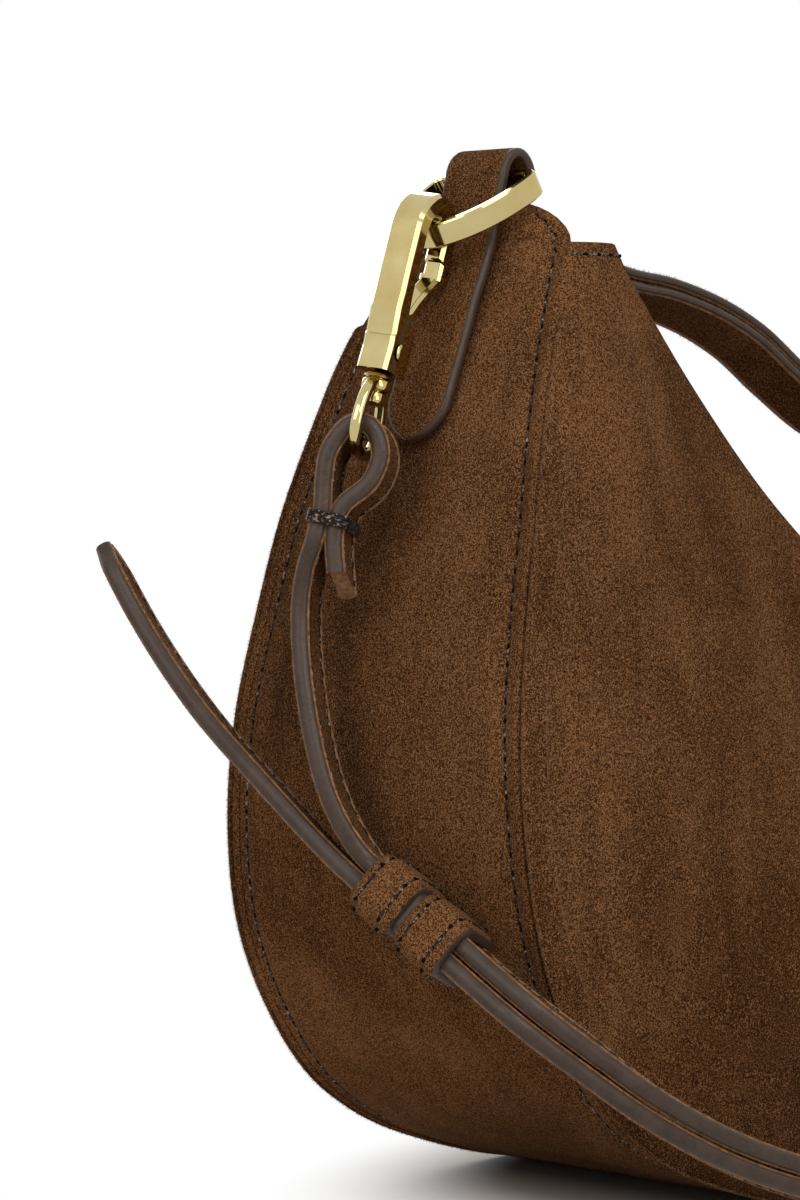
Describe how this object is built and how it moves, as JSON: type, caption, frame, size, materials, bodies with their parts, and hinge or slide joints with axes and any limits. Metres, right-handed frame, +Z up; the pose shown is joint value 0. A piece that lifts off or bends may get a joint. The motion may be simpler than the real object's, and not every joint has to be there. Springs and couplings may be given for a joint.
{
  "type": "shoulder bag",
  "caption": "Crescent suede shoulder bag with an open zip, a short double handle and a long doubled strap on snap hooks, its free end passed back through a keeper.",
  "frame": {"origin": "centre of the flat base, on the surface that the bag stands on", "axes": "+X along the bag's length, with the strap's keeper and free tip at -X; -Y is the front, where the strap lies on the floor; +Z is up"},
  "size_m": [0.384, 0.1509, 0.2349],
  "materials": {
    "body_suede": "napped brown suede",
    "strap_suede": "napped brown suede with smooth painted dark edges",
    "handle_suede": "napped brown suede with painted dark edges",
    "lining": "plain woven lining",
    "zip_tape": "woven dark brown tape",
    "zip_metal": "polished pale gold plating",
    "gold_metal": "polished pale gold plating",
    "thread": "waxed dark brown thread"
  },
  "bodies": {
    "bag": {"front_panel": "body_suede", "back_panel": "body_suede", "gusset": "body_suede", "front_welt": "body_suede", "back_welt": "body_suede", "lining_front": "lining", "lining_back": "lining", "lining_gusset": "lining", "facing_front": "body_suede", "facing_back": "body_suede", "zip_tape_front": "zip_tape", "zip_tape_back": "zip_tape", "zip_teeth_front": "zip_metal", "zip_teeth_back": "zip_metal", "end_patch_left": "body_suede", "end_patch_right": "body_suede", "tab_left": "body_suede", "tab_right": "body_suede", "handle_upper": "handle_suede", "handle_lower": "handle_suede", "strap_left_drop": "strap_suede", "strap_upper_run": "strap_suede", "strap_lower_run": "strap_suede", "strap_right_rise_inner": "strap_suede", "strap_right_rise_outer": "strap_suede", "strap_tip": "strap_suede"},
    "ring_left": {"ring_left": "gold_metal"},
    "hook_left": {"hook_left": "gold_metal", "gate_rivet_left": "gold_metal", "swivel_stud_left": "gold_metal"},
    "gate_left": {"gate_left": "gold_metal"},
    "shackle_left": {"shackle_left": "gold_metal", "strap_left_loop": "strap_suede", "strap_binding": "thread"},
    "ring_right": {"ring_right": "gold_metal"},
    "hook_right": {"hook_right": "gold_metal", "gate_rivet_right": "gold_metal", "swivel_stud_right": "gold_metal"},
    "gate_right": {"gate_right": "gold_metal"},
    "shackle_right": {"shackle_right": "gold_metal", "strap_right_loop": "strap_suede"},
    "keeper": {"strap_keeper": "strap_suede"},
    "slider": {"zip_slider": "zip_metal"},
    "pull": {"zip_pull": "zip_metal"}
  },
  "joints": [
    {"name": "left_ring_swing", "type": "hinge", "parent": "bag", "child": "ring_left", "pos_m": [-0.13271, 0, 0.22732], "axis": [0, 1, 0], "range_deg": [0, 40], "deforming": ["strap_left_drop"]},
    {"name": "left_hook_swing", "type": "hinge", "parent": "ring_left", "child": "hook_left", "pos_m": [-0.15309, -0.00081, 0.21507], "axis": [-0.2588, 0.9659, 0], "range_deg": [0, 35]},
    {"name": "left_gate_turn", "type": "hinge", "parent": "hook_left", "child": "gate_left", "pos_m": [-0.16503, -0.00074, 0.18994], "axis": [-0.2568, 0.9584, 0.1246], "range_deg": [-10, 0], "stiffness_Nm_per_rad": 0.01},
    {"name": "left_swivel", "type": "hinge", "parent": "hook_left", "child": "shackle_left", "pos_m": [-0.16641, -0.00045, 0.18489], "axis": [-0.2633, 0.0547, -0.9632], "range_deg": [-30, 30]},
    {"name": "right_ring_swing", "type": "hinge", "parent": "bag", "child": "ring_right", "pos_m": [0.13271, 0, 0.22732], "axis": [0, -1, 0], "range_deg": [0, 40], "deforming": ["strap_right_rise_inner", "strap_right_rise_outer"]},
    {"name": "right_hook_swing", "type": "hinge", "parent": "ring_right", "child": "hook_right", "pos_m": [0.15309, -0.00081, 0.21507], "axis": [-0.2588, -0.9659, 0], "range_deg": [0, 35]},
    {"name": "right_gate_turn", "type": "hinge", "parent": "hook_right", "child": "gate_right", "pos_m": [0.16503, -0.00074, 0.18994], "axis": [0.2568, 0.9584, 0.1246], "range_deg": [0, 10], "stiffness_Nm_per_rad": 0.01},
    {"name": "right_swivel", "type": "hinge", "parent": "hook_right", "child": "shackle_right", "pos_m": [0.16641, -0.00045, 0.18489], "axis": [0.2633, 0.0547, -0.9632], "range_deg": [-30, 30]},
    {"name": "keeper_slide", "type": "slide", "parent": "bag", "child": "keeper", "axis": [0.1221, -0.8323, -0.5408], "range_m": [0, 0.006]},
    {"name": "zip_slide", "type": "slide", "parent": "bag", "child": "slider", "axis": [-0.6349, 0, -0.7726], "range_m": [0, 0.008]},
    {"name": "pull_swing", "type": "hinge", "parent": "slider", "child": "pull", "pos_m": [0.09554, 0, 0.18027], "axis": [0, 1, 0], "range_deg": [0, 150]}
  ]
}
